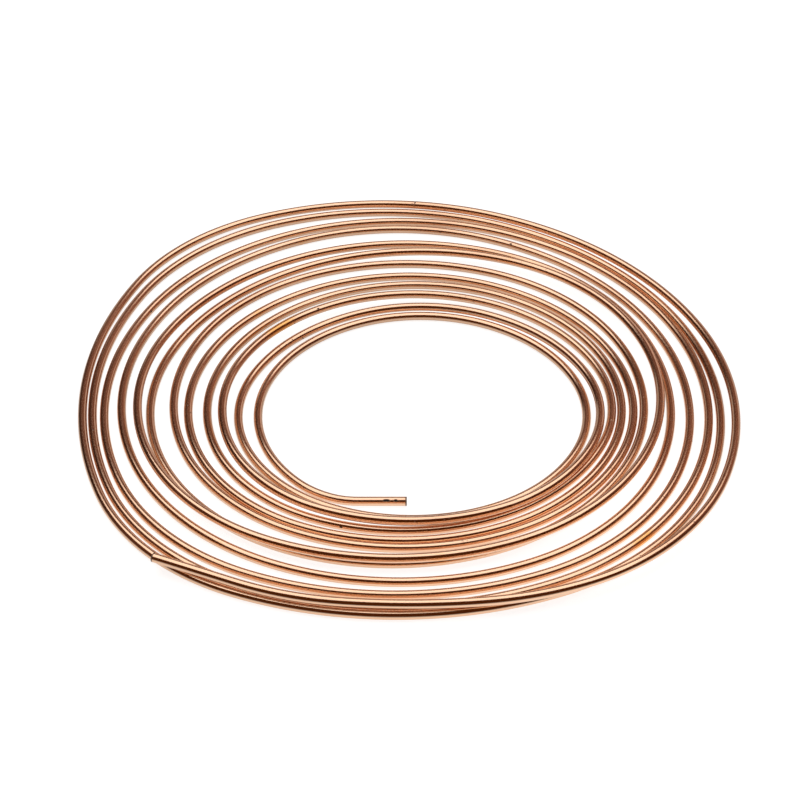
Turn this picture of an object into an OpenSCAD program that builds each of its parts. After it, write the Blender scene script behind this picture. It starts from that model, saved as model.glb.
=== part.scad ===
// Copper tube coil: about ten metres of soft drawn brake tube in one piece, laid down as a loose flat
// spiral of twelve turns. The tube runs from a cut end that lies on top at the front left, round and
// round to a cut end in the eye. All sizes are in millimetres, Z is up and the coil lies on Z = 0.

/* [Tube] */
// Outside diameter of the tube
tube_d = 4.75; // [3:0.05:5.3]
// Wall thickness of the tube
wall = 0.7; // [0.4:0.05:1.2]

/* [Coil] */
// Overall width of the coil, from left to right
coil_w = 354; // [330:1:420]
// Overall depth of the coil, from front to back
coil_d = 358; // [350:1:420]
// Air between a stretch of tube and the one that rides over it
ride_gap = 0.6; // [0.2:0.05:1.5]

/* [Cut ends] */
// Straight stretch at the outer end, on top of the turns
outer_end_l = 44; // [20:1:60]
// Straight stretch at the inner end, in the eye
inner_end_l = 25; // [15:1:40]

/* [Hidden] */

// The coil is set out in eight directions, from the right round by the back, the left and the front. In
// each one a turn's distance goes from the middle of the coil to the line that the turn touches there.
directions = 8;
step = 360 / directions;
half_step = step / 2;
turns = 12;
// How far the first turn lies outside a round one, in each direction
swell = [0, -8.75, 0, 11.5, 0, 8.25, 0, 1.75];
// Air between each turn and the next one in, a row for each direction. Less than nothing means that one
// of the two rides over the other there.
gaps = [
  [2.25, 1.25, 5.5, 5, 0.75, 4, 1.25, 1.5, 0.5, 2.5, 2],
  [-1.5, 0.75, 6, 4.75, 1.5, 6.5, 6.25, 2, 4.25, 9, -1],
  [1, 5.5, 3.5, 15.25, 3.25, 4.25, 8, 4, 8.25, 7.5, 0.5],
  [4.75, 10.25, 4.75, 14.5, 2.25, 2.5, 8.5, 6, 8, 5.5, 3.25],
  [0.75, 2, 4, 5, 1.75, 7.25, 3.5, 5.5, 4, 3.5, 5.75],
  [1.5, 3.25, 8, 3, 0, 8.5, 0.5, 3.75, -0.5, 4.25, 2.75],
  [0.5, 3.25, 4.25, 6.25, -2.75, 6.25, 0.5, 2.5, -3.25, 2.25, 7.75],
  [3, 3.25, 5.75, 5.75, 1.25, 1.5, 1, 2.25, -4.25, 2.75, 4]
];
// The back of each turn climbs over its neighbour (1), comes down again (-1) or stays level (0)
climbs = [-1, 0, 0, 0, 1, -1, 0, 0, 0, 1, -1, 0];
// How far outside the first turn the outer end lies at the front right, and its radius there
outer_end_out = 7.25;
outer_end_r = 139;
// Radius and angle of the outer end's other bends, from the front right back to its straight stretch
outer_end_bends = [[175, 16], [335, 12], [170, 18]];
// Radii of the inner end's bends, from the left of the last turn into the eye
inner_end_radii = [84, 82, 50, 36];
// Half width and half depth of the turn at each end, to which the radii above belong
outer_end_turn = [174.625, 176.625];
inner_end_turn = [79.375, 109.375];

bore_d = tube_d - 2 * wall;
ride = tube_d + ride_gap;
half_w = (coil_w - tube_d) / 2;
half_d = (coil_d - tube_d) / 2;
half_mean = (half_w + half_d) / 2;
first = [half_w, half_mean, half_d, half_mean, half_w, half_mean, half_d, half_mean] + swell;

// The tube's marks are numbered along it, eight to a turn. Mark 0 is the front right of the outer end,
// mark 1 is the right of the first turn, and the last mark is the left of the last turn.
marks = directions * turns - 2;
function right_mark(i) = directions * i + 1;
function angle_at(k) = step * ((k + 7) % directions);
function turn_at(k) = floor((k + 7) / directions) - 1;
function out(angle) = [cos(angle), sin(angle)];

// Distance of the tube at each mark
function inward(d, i) = i == 0 ? first[d] : inward(d, i - 1) - tube_d - gaps[d][i - 1];
reach = [
  for (k = [0:marks - 1])
    k == 0 ? first[directions - 1] + outer_end_out
    : inward((k - 1) % directions, turn_at(k))
];

// The radii of both ends follow the turns there, as an oval's radius at an angle does when its half width
// and its half depth grow by a small share
function oval(angle, wider, deeper) =
  1 + (2 - 3 * pow(cos(angle), 2)) * wider + (2 - 3 * pow(sin(angle), 2)) * deeper;
function outer_oval(angle) = oval(angle, half_w / outer_end_turn[0] - 1, half_d / outer_end_turn[1] - 1);
function inner_oval(angle) =
  oval(angle, reach[marks - 1] / inner_end_turn[0] - 1, reach[marks - 7] / inner_end_turn[1] - 1);
first_radius = outer_end_r * outer_oval(angle_at(0));
function inner_radius(j) = inner_end_radii[j] * inner_oval(j == 0 ? 180 : 180 + (j + 0.5) * half_step);

// One arc is centred on each mark and goes halfway to the next on both sides. For three marks in a row,
// the distances fix a sum of the three radii, so the radii are found by going over the marks until they
// settle.
share = cos(half_step) - cos(step);
rest = 1 - cos(half_step);
function settle(radii, times) =
  times == 0 ? radii
  : settle([
      for (k = [0:marks - 1])
        k == 0 ? first_radius
        : k == marks - 1 ? inner_radius(0)
        : (reach[k + 1] + reach[k - 1] - 2 * reach[k] * cos(step) - rest * (radii[k - 1] + radii[k + 1]))
          / (2 * share)
    ], times - 1);
radii = settle(reach, 40);

// Middles of the arcs. Each lies in line with the one before and the end that the two arcs share.
start_along = (reach[1] - reach[0] * cos(step) - share * radii[0] - rest * radii[1]) / sin(step);
start_middle = (reach[0] - radii[0]) * out(angle_at(0)) + start_along * out(angle_at(0) + 90);
function hop(k) = k < marks - 1 ? (radii[k] - radii[k + 1]) * out(angle_at(k) + half_step) : [0, 0];
middles = [for (k = 0, at = start_middle; k < marks; at = at + hop(k), k = k + 1) at];

// Left and right ends of a turn's back half
function touch_x(k) = middles[k][0] + radii[k] * cos(angle_at(k));
function right_x(i) = touch_x(right_mark(i));
function span(i) = right_x(i) - touch_x(right_mark(i) + 4);

// A back half leans by a cosine of six places and a sine of seven, and is longer by a little, so that its
// two ends meet the level tube on each side exactly
function lean_cos(i) = climbs[i] == 0 ? 1 : round(1e6 * cos(atan2(ride, span(i)))) / 1e6;
function lean_sin(i) = climbs[i] * round(1e7 * sqrt(1 - lean_cos(i) * lean_cos(i))) / 1e7;
function lean_rise(i) = span(i) * lean_sin(i) / lean_cos(i);
function lean_longer(i) = span(i) / lean_cos(i) - span(i);
// Height of the tube's centreline on the right of a turn, and so on the front that leads to it
function level(i) = i == 0 ? tube_d / 2 - lean_rise(0) : level(i - 1) + lean_rise(i - 1);

// Each bend has its height, its middle, its radius, the angles that it starts at and sweeps, and the turn
// that it leans with, or -1 where it is level. A mark has two bends where the lean starts or ends.
function level_bend(k, from, to, i) = [level(i), middles[k], radii[k], angle_at(k) + from, to - from, -1];
function leaning_bend(k, i) =
  let (
    j = k - right_mark(i),
    inside = j > 0 && j < 4,
    more = lean_longer(i) / (2 * cos(half_step)),
    shift = j == 0 ? [0, 0] : inside ? -more * out(half_step) : [-lean_longer(i), 0]
  )
  [
    level(i),
    middles[k] + shift,
    radii[k] + (inside ? more : 0),
    angle_at(k) - (j == 0 ? 0 : half_step),
    inside ? step : half_step,
    i
  ];
function bends_at(k) =
  let (i = turn_at(k), j = k - right_mark(i), leans = i >= 0 && climbs[i] != 0)
  j == 0 && leans ? [level_bend(k, -half_step, 0, i), leaning_bend(k, i)]
  : j == 4 && leans ? [leaning_bend(k, i), level_bend(k, 0, half_step, i + 1)]
  : j < 4 && leans ? [leaning_bend(k, i)]
  : [level_bend(k, -half_step, half_step, j < 4 ? i : i + 1)];

// The outer end's bends go back from mark 0
outer_count = len(outer_end_bends);
function outer_angle(j) = j == 0 ? angle_at(0) - half_step : outer_angle(j - 1) - outer_end_bends[j - 1][1];
function outer_radius(j) =
  j < 0 ? first_radius
  : outer_end_bends[j][0] * outer_oval(outer_angle(j) - outer_end_bends[j][1] / 2);
function outer_middle(j) =
  j < 0 ? middles[0]
  : outer_middle(j - 1) + (outer_radius(j - 1) - outer_radius(j)) * out(outer_angle(j));
outer_bends = [
  for (j = [0:outer_count - 1])
    [level(0), outer_middle(j), outer_radius(j), outer_angle(j + 1), outer_end_bends[j][1], -1]
];

// The inner end's bends go on from the last mark
inner_last = len(inner_end_radii) - 1;
function inner_middle(j) =
  j == 0 ? middles[marks - 1]
  : inner_middle(j - 1) + (inner_radius(j - 1) - inner_radius(j)) * out(180 + j * half_step);
inner_bends = [
  for (j = [1:inner_last])
    [level(turns), inner_middle(j), inner_radius(j), 180 + j * half_step, half_step, -1]
];

// A straight end has its height, the place where it starts, no radius, its direction and its length
outer_from = outer_angle(outer_count);
outer_at = outer_middle(outer_count - 1) + outer_radius(outer_count - 1) * out(outer_from);
outer_straight = [level(0), outer_at, 0, outer_from - 90, outer_end_l, -1];
inner_at = inner_middle(inner_last) - [0, inner_radius(inner_last)];
inner_straight = [level(turns), inner_at, 0, 0, inner_end_l, -1];

stretches = [
  outer_straight,
  each outer_bends,
  for (k = [0:marks - 1]) each bends_at(k),
  each inner_bends,
  inner_straight
];

// Moves in two steps, hundredths first and the rest after, so that long decimals keep their last places
module place(at) {
  near = [for (v = at) round(v * 100) / 100];
  translate(near)
    translate(at - near)
      children();
}

module ring() {
  difference() {
    circle(d = tube_d, $fn = 36);
    circle(d = bore_d, $fn = 36);
  }
}

// Tilts about the right side of a turn, which keeps its height there
module lean(i) {
  c = lean_cos(i);
  s = lean_sin(i);
  place([right_x(i), 0, 0])
    multmatrix([[c, 0, s, 0], [0, 1, 0, 0], [-s, 0, c, 0]])
      place([-right_x(i), 0, 0])
        children();
}

// Tube turned about a middle
module bend(middle, radius, from, sweep) {
  place(middle)
    rotate_extrude(angle = sweep, start = from, $fn = 96)
      place([radius, 0])
        ring();
}

// Tube that runs straight from a place
module straight(at, direction, length) {
  place(at)
    rotate([0, 90, direction])
      linear_extrude(length)
        ring();
}

module copper_tube()
  color("peru")
    for (s = stretches)
      place([0, 0, s[0]])
        if (s[2] == 0)
          straight(s[1], s[3], s[4]);
        else if (s[5] < 0)
          bend(s[1], s[2], s[3], s[4]);
        else
          lean(s[5])
            bend(s[1], s[2], s[3], s[4]);

copper_tube();
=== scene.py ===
import math

import bpy
import numpy as np
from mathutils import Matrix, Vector


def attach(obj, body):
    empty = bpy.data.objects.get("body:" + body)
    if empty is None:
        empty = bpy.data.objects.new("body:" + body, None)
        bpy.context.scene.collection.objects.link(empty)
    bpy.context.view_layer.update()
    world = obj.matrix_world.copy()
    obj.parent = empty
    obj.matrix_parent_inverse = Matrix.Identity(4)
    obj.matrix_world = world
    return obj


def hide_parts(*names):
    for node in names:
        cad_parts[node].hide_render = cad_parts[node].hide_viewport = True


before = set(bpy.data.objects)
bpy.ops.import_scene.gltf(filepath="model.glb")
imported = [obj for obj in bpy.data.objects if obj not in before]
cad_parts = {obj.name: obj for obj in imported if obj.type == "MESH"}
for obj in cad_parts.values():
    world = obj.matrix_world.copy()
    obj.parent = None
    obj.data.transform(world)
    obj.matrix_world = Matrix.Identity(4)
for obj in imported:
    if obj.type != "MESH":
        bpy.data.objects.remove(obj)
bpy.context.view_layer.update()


class Wire:
    # one output socket of a node tree; arithmetic on it adds Math nodes
    def __init__(self, tree, socket):
        self.tree = tree
        self.socket = socket

    @staticmethod
    def feed(tree, target, value):
        if isinstance(value, Wire):
            tree.links.new(value.socket, target)
        else:
            target.default_value = value

    @staticmethod
    def node(tree, kind, settings=None, sockets=None, out=0):
        # any node: its settings first, then the values or links of its sockets
        made = tree.nodes.new(kind)
        for name, value in (settings or {}).items():
            setattr(made, name, value)
        for name, value in (sockets or {}).items():
            Wire.feed(tree, made.inputs[name], value)
        return Wire(tree, made.outputs[out]) if len(made.outputs) else made

    def maths(self, operation, first, second):
        return Wire.node(self.tree, "ShaderNodeMath", {"operation": operation}, {0: first, 1: second})

    def __add__(self, other):
        return self.maths("ADD", self, other)

    def __radd__(self, other):
        return self.maths("ADD", other, self)

    def __sub__(self, other):
        return self.maths("SUBTRACT", self, other)

    def __rsub__(self, other):
        return self.maths("SUBTRACT", other, self)

    def __mul__(self, other):
        return self.maths("MULTIPLY", self, other)

    def most(self, other):
        return self.maths("MAXIMUM", self, other)

    def ramp(self, low, high):
        # 0 below low, 1 above high, smooth between
        sockets = {"Value": self, "From Min": low, "From Max": high}
        return Wire.node(self.tree, "ShaderNodeMapRange", {"interpolation_type": "SMOOTHSTEP"}, sockets)

    def blend(self, first, second):
        # first colour where this is 0, second where it is 1
        settings = {"data_type": "RGBA", "blend_type": "MIX"}
        return Wire.node(self.tree, "ShaderNodeMix", settings, {0: self, 6: first, 7: second}, 2)


coil = {
    "tubeD": 4.75e-3,
    "wall": 0.7e-3,
    "width": 0.354,
    "depth": 0.358,
    "rideGap": 0.6e-3,
    "outerEndL": 0.044,
    "outerEndOut": 7.25,  # mm outside the first turn at the front right
    "outerEndR": 139.0,  # mm, there
    "outerEndBends": [[175.0, 16.0], [335.0, 12.0], [170.0, 18.0]],  # mm and degrees, back to the straight
    "innerEndL": 0.025,
    "innerEndRadii": [84.0, 82.0, 50.0, 36.0],  # mm
    "swell": [0, -8.75, 0, 11.5, 0, 8.25, 0, 1.75],  # mm, first turn against a round one, each 45 degrees
    "gaps": [  # mm of air from each turn to the next one in, a row for each direction
        [2.25, 1.25, 5.5, 5, 0.75, 4, 1.25, 1.5, 0.5, 2.5, 2],
        [-1.5, 0.75, 6, 4.75, 1.5, 6.5, 6.25, 2, 4.25, 9, -1],
        [1, 5.5, 3.5, 15.25, 3.25, 4.25, 8, 4, 8.25, 7.5, 0.5],
        [4.75, 10.25, 4.75, 14.5, 2.25, 2.5, 8.5, 6, 8, 5.5, 3.25],
        [0.75, 2, 4, 5, 1.75, 7.25, 3.5, 5.5, 4, 3.5, 5.75],
        [1.5, 3.25, 8, 3, 0, 8.5, 0.5, 3.75, -0.5, 4.25, 2.75],
        [0.5, 3.25, 4.25, 6.25, -2.75, 6.25, 0.5, 2.5, -3.25, 2.25, 7.75],
        [3, 3.25, 5.75, 5.75, 1.25, 1.5, 1, 2.25, -4.25, 2.75, 4],
    ],
    "climbs": [-1, 0, 0, 0, 1, -1, 0, 0, 0, 1, -1, 0],  # how the back of each turn leans
}
mm = 1e-3
hair = 1e-6  # keeps a joint between two arcs on its own side
step = math.radians(45)
halfStep = step / 2


def outward(angle):
    # unit vectors in plan at these angles
    return np.stack([np.cos(angle), np.sin(angle)], axis=-1)


def turnArcs():
    # The turns as one arc for each of eight directions a turn, from the front right of the outer end to
    # the left of the last turn. The tube touches a line in each direction at the distance that the gaps
    # give, and the radii follow from the distances of three touches in a row.
    tube = coil["tubeD"]
    halfW, halfD = (coil["width"] - tube) / 2, (coil["depth"] - tube) / 2
    mean = (halfW + halfD) / 2
    first = np.array([halfW, mean, halfD, mean] * 2) + mm * np.array(coil["swell"])
    inward = np.cumsum(mm * np.array(coil["gaps"]) + tube, axis=1)
    turns = np.vstack([first, first - inward.T])
    reach = np.concatenate([[first[-1] + mm * coil["outerEndOut"]], turns.ravel()[:-3]])
    share = math.cos(halfStep) - math.cos(step)
    rest = 1 - math.cos(halfStep)
    radii = reach.copy()
    radii[0], radii[-1] = mm * coil["outerEndR"], mm * coil["innerEndRadii"][0]
    wanted = reach[2:] + reach[:-2] - 2 * math.cos(step) * reach[1:-1]
    for _ in range(40):
        radii[1:-1] = (wanted - rest * (radii[2:] + radii[:-2])) / (2 * share)
    angles = step * (np.arange(len(reach)) + 7)
    along = (reach[1] - reach[0] * math.cos(step) - share * radii[0] - rest * radii[1]) / math.sin(step)
    hops = (radii[:-1] - radii[1:])[:, None] * outward(angles[:-1] + halfStep)
    middle = (reach[0] - radii[0]) * outward(angles[0]) + along * outward(angles[0] + math.pi / 2)
    return angles, radii, middle + np.vstack([[0, 0], np.cumsum(hops, axis=0)])


def coilArcs():
    # The whole route, in the order of the tube: outer straight end, outer bends, turns, inner bends, inner
    # straight end. Each row holds start distance, start x and y, start angle, curvature, start height and
    # rise for each metre to -x.
    angles, radii, middles = turnArcs()
    touchX = (middles + radii[:, None] * outward(angles))[:, 0]

    # the outer bends go back from the first arc, each middle in line with the joint and the one before
    bends = np.array(coil["outerEndBends"])
    outerR = np.concatenate([radii[:1], mm * bends[:, 0]])
    joints = angles[0] - halfStep - np.radians(np.concatenate([[0], np.cumsum(bends[:, 1])]))
    outerHop = (outerR[:-1] - outerR[1:])[:, None] * outward(joints[:-1])
    outerMiddle = middles[0] + np.cumsum(outerHop, axis=0)
    outerAt = outerMiddle[-1] + outerR[-1] * outward(joints[-1])
    outerStart = outerAt - coil["outerEndL"] * outward(joints[-1] + math.pi / 2)

    # each arc is cut in two at the right and left of a turn, where a leaning half starts or ends
    sides = np.arange(1, len(angles), 4)
    order = np.sort(np.concatenate([np.arange(len(angles)), sides]))
    turnStart = (angles - halfStep)[order]
    again = np.concatenate([[False], order[1:] == order[:-1]])
    turnStart[again] = angles[order[again]]

    # the inner bends go on from the last arc, each half a step
    innerR = mm * np.array(coil["innerEndRadii"])
    innerStart = angles[-1] + halfStep * np.arange(1, len(innerR))
    innerHop = (innerR[:-1] - innerR[1:])[:, None] * outward(innerStart)
    innerMiddle = middles[-1] + np.cumsum(innerHop, axis=0)
    finish = angles[-1] + halfStep * len(innerR)

    begin = np.concatenate([joints[:0:-1], turnStart, innerStart])
    radius = np.concatenate([outerR[:0:-1], radii[order], innerR[1:]])
    middle = np.vstack([outerMiddle[::-1], middles[order], innerMiddle])
    start = middle + radius[:, None] * outward(begin)
    innerAt = innerMiddle[-1] + innerR[-1] * outward(finish)
    length = radius * np.diff(np.concatenate([begin, [finish]]))

    # the straight ends have no curvature
    length = np.concatenate([[coil["outerEndL"]], length, [coil["innerEndL"]]])
    begin = np.concatenate([joints[-1:], begin, [finish]])
    curve = np.concatenate([[0], 1 / radius, [0]])
    start = np.vstack([outerStart, start, innerAt])

    # heights: the outer end rides on top, each back half may lean, and what follows it keeps its end height
    tube = coil["tubeD"]
    ride = tube + coil["rideGap"]
    climbs = np.array(coil["climbs"])
    rightX, leftX = touchX[1::8], touchX[5::8]
    slope = climbs * ride / (rightX - leftX)
    level = tube / 2 + ride + ride * np.concatenate([[0], np.cumsum(climbs)])
    turn = np.floor((begin - 2 * math.pi + hair) / (2 * math.pi)).astype(int)
    back = (turn >= 0) & ((begin + hair) % (2 * math.pi) < math.pi)
    inTurn = np.clip(turn, 0, len(climbs) - 1)
    rise = np.where(back, slope[inTurn], 0.0)
    leaning = level[inTurn] + rise * (rightX[inTurn] - start[:, 0])
    height = np.where(back, leaning, level[np.clip(turn + 1, 0, None)])
    distance = np.concatenate([[0], np.cumsum(length)])
    return np.column_stack([distance[:-1], start, begin, curve, height, rise]), distance[-1]


def routeFrames(arcs, distance):
    # Points and directions at distances along the route. On an arc the angle grows with distance times
    # curvature and the point turns about the arc's middle; on a straight end it runs along its direction.
    row = arcs[np.clip(np.searchsorted(arcs[:, 0], distance, side="right") - 1, 0, len(arcs) - 1)]
    run = distance - row[:, 0]
    bent = row[:, 4] > 0
    radius = np.where(bent, 1 / np.where(bent, row[:, 4], 1), 0)
    angle = row[:, 3] + run * row[:, 4]
    turned = radius[:, None] * (outward(angle) - outward(row[:, 3]))
    ahead = np.where(bent, 0, run)[:, None] * outward(row[:, 3] + math.pi / 2)
    plan = row[:, 1:3] + turned + ahead
    point = np.column_stack([plan, row[:, 5] + row[:, 6] * (row[:, 1] - plan[:, 0])])
    side = np.column_stack([outward(angle), np.zeros(len(angle))])
    lean = row[:, 6] * np.sin(angle)
    up = np.column_stack([np.sin(angle) * lean, -np.cos(angle) * lean, np.ones(len(angle))])
    return point, side, up / np.linalg.norm(up, axis=1, keepdims=True)


def meshPiece(name, points, faces, smooth):
    mesh = bpy.data.meshes.new(name)
    mesh.from_pydata(points.tolist(), [], faces.tolist())
    mesh.polygons.foreach_set("use_smooth", np.broadcast_to(smooth, len(faces)).astype(bool))
    mesh.update()
    piece = bpy.data.objects.new(name, mesh)
    bpy.context.scene.collection.objects.link(piece)
    return piece


tubeSkin = {
    "sides": 24,
    "outerRows": 2450,
    "boreRows": 900,
    "cutRows": [0.0, 0.05, 0.12, 0.25, 0.5, 1.0, 2.0],  # mm from a cut
    "cutIn": [0.22, 0.11, 0.05, 0.02, 0.0, 0.0, 0.0],  # mm that the cutter has rolled the edge in
    "boreFlare": [0.12, 0.05, 0.0],  # mm that the bore opens at a cut
}


def tubeRows(length):
    # Distance and radius of every ring: along the skin, over the cut, back through the bore and over the
    # other cut
    outerR = coil["tubeD"] / 2
    boreR = outerR - coil["wall"]
    edge = mm * np.array(tubeSkin["cutRows"])
    rolled = mm * np.array(tubeSkin["cutIn"])
    flare = mm * np.array(tubeSkin["boreFlare"])
    inside = np.linspace(edge[-1], length - edge[-1], tubeSkin["outerRows"])[1:-1]
    skinS = np.concatenate([edge, inside, length - edge[::-1]])
    skinR = np.concatenate([outerR - rolled, np.full(len(inside), outerR), outerR - rolled[::-1]])
    boreS = np.linspace(edge[2], length - edge[2], tubeSkin["boreRows"])[1:-1]
    boreS = np.concatenate([edge[:3], boreS, length - edge[2::-1]])[::-1]
    boreRs = np.concatenate([boreR + flare, np.full(len(boreS) - 6, boreR), boreR + flare[::-1]])
    return np.concatenate([skinS, boreS]), np.concatenate([skinR, boreRs]), len(skinS)


def copperTube():
    # A ring carried along the route: point = route + radius * (cos a * side + sin a * up)
    arcs, length = coilArcs()
    rowS, rowR, skinRows = tubeRows(length)
    rows, sides = len(rowS), tubeSkin["sides"]
    around = 2 * math.pi * np.arange(sides) / sides
    point, side, up = routeFrames(arcs, rowS)
    ring = np.cos(around)[None, :, None] * side[:, None] + np.sin(around)[None, :, None] * up[:, None]
    points = (point[:, None] + rowR[:, None, None] * ring).reshape(-1, 3)
    r, c = np.meshgrid(np.arange(rows), np.arange(sides), indexing="ij")
    rNext, cNext = (r + 1) % rows, (c + 1) % sides
    corners = [(r, c), (r, cNext), (rNext, cNext), (rNext, c)]
    faces = np.stack([i * sides + j for i, j in corners], axis=-1).reshape(-1, 4)
    cutFace = ((r == skinRows - 1) | (r == rows - 1)).ravel()
    piece = meshPiece("copperTube", points, faces, ~cutFace)
    mesh = piece.data
    uvCorners = [(r, c), (r, c + 1), (rNext, c + 1), (rNext, c)]  # metres along, share of the way round
    uv = np.stack([np.stack([rowS[i], j / sides], axis=-1) for i, j in uvCorners], axis=2)
    mesh.uv_layers.new(name="tubeUv").data.foreach_set("uv", uv.astype(np.float32).ravel())
    print("tube", round(length, 3), "m,", 2 * len(faces), "triangles")
    return piece, length


copperLook = {
    "bright": (0.90, 0.595, 0.40),  # clean drawn copper
    "gold": (0.88, 0.46, 0.16),  # golden tarnish
    "brown": (0.72, 0.42, 0.26),  # duller stretches
    "nearBlack": (0.012, 0.008, 0.006),  # near black, painted in the nicks, in the specks and at the cut ends
    "roughness": 0.115,
    "drawLines": (6.0, 34.0, 1.0),  # draw lines for each metre along and for each time round
    "cloudScale": 26.0,  # patches of golden tarnish
    "broadScale": 9.0,  # duller stretches
    "speckScale": 520.0,
    "bumpDepth": 0.0002,
    "goldBand": (0.62, 0.74),  # noise at which each mark starts and is full
    "brownBand": (0.50, 0.66),
    "speckBand": (0.73, 0.77),
    "speckyBand": (0.48, 0.60),
    "nicks": [  # metres from the outer cut, degrees about the tube, then length and width in mm
        [10.0475, 52, 3.8, 1.5],
        [10.0522, 50, 2.2, 1.5],
        [2.099, 92, 1.2, 0.8],
        [2.112, 128, 1.0, 0.8],
        [3.030, 156, 1.8, 1.0],
        [7.016, 56, 1.0, 0.8],
        [7.433, 92, 1.0, 0.7],
        [7.439, 120, 0.9, 0.7],
        [7.760, 4, 1.0, 0.8],
        [7.772, 112, 1.3, 0.7],
        [8.262, 20, 1.6, 0.8],
        [8.678, 124, 1.9, 0.7],
    ],
    "cutDarkening": 1.1,  # mm of skin painted dark at each end
    "goldSpots": [  # metres from the outer cut and half length in mm
        [2.458, 10.0],
        [8.705, 14.0],
    ],
}


def patch(u, v, at, turn, long, wide):
    # 1 inside an ellipse on the unrolled tube and 0 outside it, from the square of the distance along by
    # the half length and the square of the distance round by the half width
    around = math.pi * coil["tubeD"] / mm
    du = (u - at) * (2 / (mm * long))
    dv = (v - turn / 360) * (2 * around / wide)
    return 1.0 - (du * du + dv * dv).ramp(0.45, 1.4)


def copperMaterial(tubeLength):
    material = bpy.data.materials.new("drawnCopper")
    material.use_nodes = True
    tree = material.node_tree
    tree.nodes.clear()
    place = Wire.node(tree, "ShaderNodeTexCoord", out=3)
    uv = Wire.node(tree, "ShaderNodeUVMap", {"uv_map": "tubeUv"})
    split = tree.nodes.new("ShaderNodeSeparateXYZ")
    Wire.feed(tree, split.inputs[0], uv)
    u, v = Wire(tree, split.outputs[0]), Wire(tree, split.outputs[1])
    drawn = Wire.node(tree, "ShaderNodeMapping", {"vector_type": "POINT"},
                      {"Vector": uv, "Scale": copperLook["drawLines"]})
    lines = Wire.node(tree, "ShaderNodeTexNoise", {"noise_dimensions": "2D"},
                      {"Vector": drawn, "Scale": 1.0, "Detail": 3.0})
    cloud = Wire.node(tree, "ShaderNodeTexNoise", None,
                      {"Vector": place, "Scale": copperLook["cloudScale"], "Detail": 4.0, "Roughness": 0.6})
    broad = Wire.node(tree, "ShaderNodeTexNoise", None,
                      {"Vector": place, "Scale": copperLook["broadScale"], "Detail": 2.0})
    speck = Wire.node(tree, "ShaderNodeTexNoise", None,
                      {"Vector": place, "Scale": copperLook["speckScale"], "Detail": 1.0})
    # dark marks painted near black: random specks, then the nicks and the cut ends
    dark = speck.ramp(*copperLook["speckBand"]) * broad.ramp(*copperLook["speckyBand"]) * 0.8
    # each nick painted near black, rougher and less metallic
    for nick in copperLook["nicks"]:
        dark = dark.most(patch(u, v, *nick))
    # a dark band painted on the skin over the last few tenths of a mm at each cut end
    darkReach = mm * copperLook["cutDarkening"]
    atStart = 1.0 - u.ramp(0.4 * darkReach, darkReach)
    atCuts = atStart.most(u.ramp(tubeLength - darkReach, tubeLength - 0.4 * darkReach))
    dark = dark.most(atCuts * 0.75)
    gold = cloud.ramp(*copperLook["goldBand"]) * 0.5
    for at, half in copperLook["goldSpots"]:
        off = (u - at) * (1 / (mm * half))
        gold = gold.most((1.0 - (off * off).ramp(0.1, 1.0)) * cloud.ramp(0.3, 0.6))
    brown = broad.ramp(*copperLook["brownBand"]) * 0.5
    colour = brown.blend((*copperLook["bright"], 1), (*copperLook["brown"], 1))
    colour = gold.blend(colour, (*copperLook["gold"], 1))
    colour = dark.blend(colour, (*copperLook["nearBlack"], 1))
    rough = copperLook["roughness"] + lines * 0.08 + gold * 0.06 + dark * 0.4
    bump = Wire.node(tree, "ShaderNodeBump", None,
                     {"Strength": 0.06, "Distance": copperLook["bumpDepth"], "Height": lines - dark})
    shader = Wire.node(tree, "ShaderNodeBsdfPrincipled", None,
                       {"Base Color": colour, "Metallic": 1.0 - dark * 0.9, "Roughness": rough,
                        "Normal": bump})
    Wire.node(tree, "ShaderNodeOutputMaterial", None, {"Surface": shader})
    return material


tube, tubeLength = copperTube()
tube.data.materials.append(copperMaterial(tubeLength))
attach(tube, "root")
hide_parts("copper_tube")

studio = {
    "floorHalf": 6.0,
    "floorColour": (0.5, 0.5, 0.5),
    "floorGlow": 0.85,  # a lit table, which keeps the shadows faint
    "floorSeen": 0.70,  # share of the glow that the tube sees at the front left, less to the back
    "floorRight": 0.28,  # share added to the right
    "floorBack": 0.45,  # share of that lost to the back
    "rightBand": (-0.15, 0.15),  # metres across and deep in which the two shares grow
    "backBand": (-0.10, 0.02),
    "glanceBand": (0.5, 0.95),  # from a steep angle to a low one
    "aim": (-0.00365, -0.01045, 0.0),
    "elevation": 38.5,
    "distance": 1.053,
    "lens": 87.75,
    "softboxAt": (0.0, 0.33, 1.2),
    "softboxSize": (2.2, 1.55),
    "softboxPower": 13.5,
    "panelAt": (0.40, 1.1, 0.25),  # a low white panel behind the coil, open to the left
    "panelSize": (2.3, 0.5),
    "panelPower": 1.4,
    "roomFront": (0.07, 0.02, 0.003),
    "roomBack": (0.140, 0.062, 0.042),
    "roomSide": 1.0,  # how much lighter the back right is, and darker the back left
}


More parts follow.
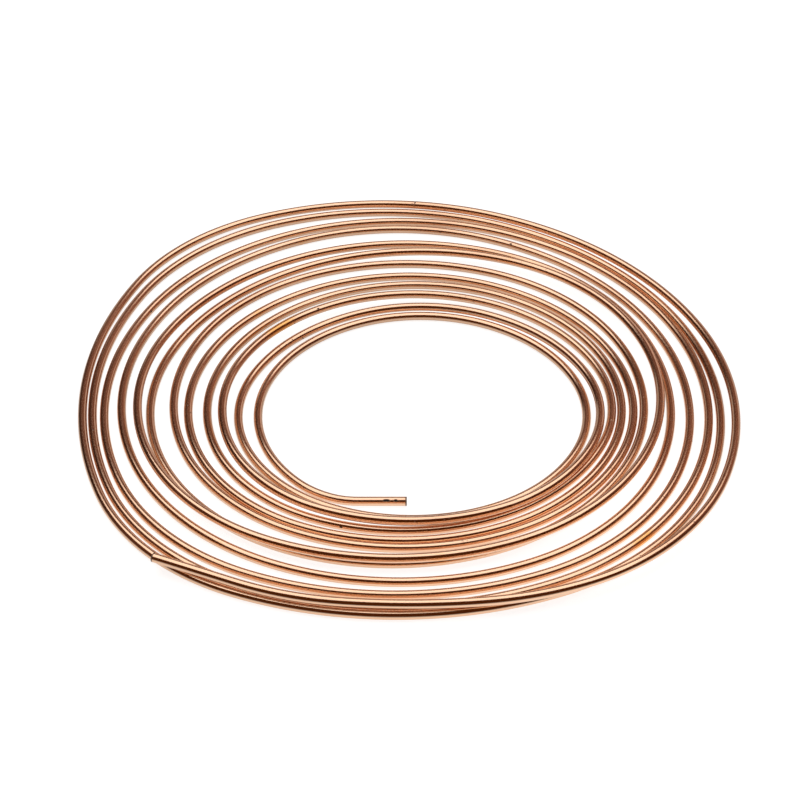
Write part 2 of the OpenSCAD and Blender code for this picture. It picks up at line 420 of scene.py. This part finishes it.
def studioFloor():
    half = studio["floorHalf"]
    corners = np.array([[-half, -half, 0], [half, -half, 0], [half, half, 0], [-half, half, 0]])
    floor = meshPiece("studioFloor", corners, np.array([[0, 1, 2, 3]]), False)
    material = bpy.data.materials.new("paleFloor")
    material.use_nodes = True
    tree = material.node_tree
    tree.nodes.clear()
    # the camera sees the whole glow, and the tube less of it to the back and at a low angle
    glance = Wire.node(tree, "ShaderNodeLayerWeight", None, {"Blend": 0.5}, 1)
    eye = Wire.node(tree, "ShaderNodeLightPath", out=0)
    split = tree.nodes.new("ShaderNodeSeparateXYZ")
    Wire.feed(tree, split.inputs[0], Wire.node(tree, "ShaderNodeTexCoord", out=3))
    toRight = Wire(tree, split.outputs[0]).ramp(*studio["rightBand"])
    toBack = Wire(tree, split.outputs[1]).ramp(*studio["backBand"])
    share = studio["floorSeen"] + toRight * studio["floorRight"]
    steep = 1.0 - glance.ramp(*studio["glanceBand"])
    seen = steep * (1.0 - toBack * studio["floorBack"]) * share
    lit = eye.most(seen).blend((0, 0, 0, 1), (1, 1, 1, 1))
    shader = Wire.node(tree, "ShaderNodeBsdfPrincipled", None,
                       {"Base Color": (*studio["floorColour"], 1), "Roughness": 0.9,
                        "Specular IOR Level": 0.0, "Emission Color": lit,
                        "Emission Strength": studio["floorGlow"]})
    Wire.node(tree, "ShaderNodeOutputMaterial", None, {"Surface": shader})
    floor.data.materials.append(material)


def studioLight():
    for name, tilt in (("softbox", 0), ("panel", -90)):
        box = bpy.data.lights.new(name, "AREA")
        box.shape = "RECTANGLE"
        box.size, box.size_y = studio[name + "Size"]
        box.energy = studio[name + "Power"]
        lamp = bpy.data.objects.new(name, box)
        lamp.location = studio[name + "At"]
        lamp.rotation_euler = (math.radians(tilt), 0, 0)
        bpy.context.scene.collection.objects.link(lamp)
    world = bpy.data.worlds.new("room")
    bpy.context.scene.world = world
    world.use_nodes = True
    tree = world.node_tree
    tree.nodes.clear()
    direction = Wire.node(tree, "ShaderNodeTexCoord", out=0)
    split = tree.nodes.new("ShaderNodeSeparateXYZ")
    Wire.feed(tree, split.inputs[0], direction)
    across, depth = Wire(tree, split.outputs[0]), Wire(tree, split.outputs[1])
    colour = depth.ramp(-0.3, 0.5).blend((*studio["roomFront"], 1), (*studio["roomBack"], 1))
    shade = 1.0 + across * depth.ramp(0.0, 0.6) * studio["roomSide"]
    room = Wire.node(tree, "ShaderNodeBackground", None, {"Color": colour, "Strength": shade})
    seen = Wire.node(tree, "ShaderNodeBackground", None, {"Color": (1, 1, 1, 1), "Strength": 1.0})
    eye = Wire.node(tree, "ShaderNodeLightPath", out=0)
    mixed = Wire.node(tree, "ShaderNodeMixShader", None, {0: eye, 1: room, 2: seen})
    Wire.node(tree, "ShaderNodeOutputWorld", None, {"Surface": mixed})


def studioCamera():
    lens = bpy.data.cameras.new("camera")
    lens.sensor_width = 36.0
    lens.lens = studio["lens"]
    lens.clip_start, lens.clip_end = 0.01, 50.0
    camera = bpy.data.objects.new("camera", lens)
    lift = math.radians(studio["elevation"])
    aim = Vector(studio["aim"])
    camera.location = aim + studio["distance"] * Vector((0, -math.cos(lift), math.sin(lift)))
    camera.rotation_euler = (aim - camera.location).to_track_quat("-Z", "Y").to_euler()
    bpy.context.scene.collection.objects.link(camera)
    bpy.context.scene.camera = camera


studioFloor()
studioLight()
studioCamera()
bpy.context.scene.view_settings.view_transform = "Standard"
print("studio set")
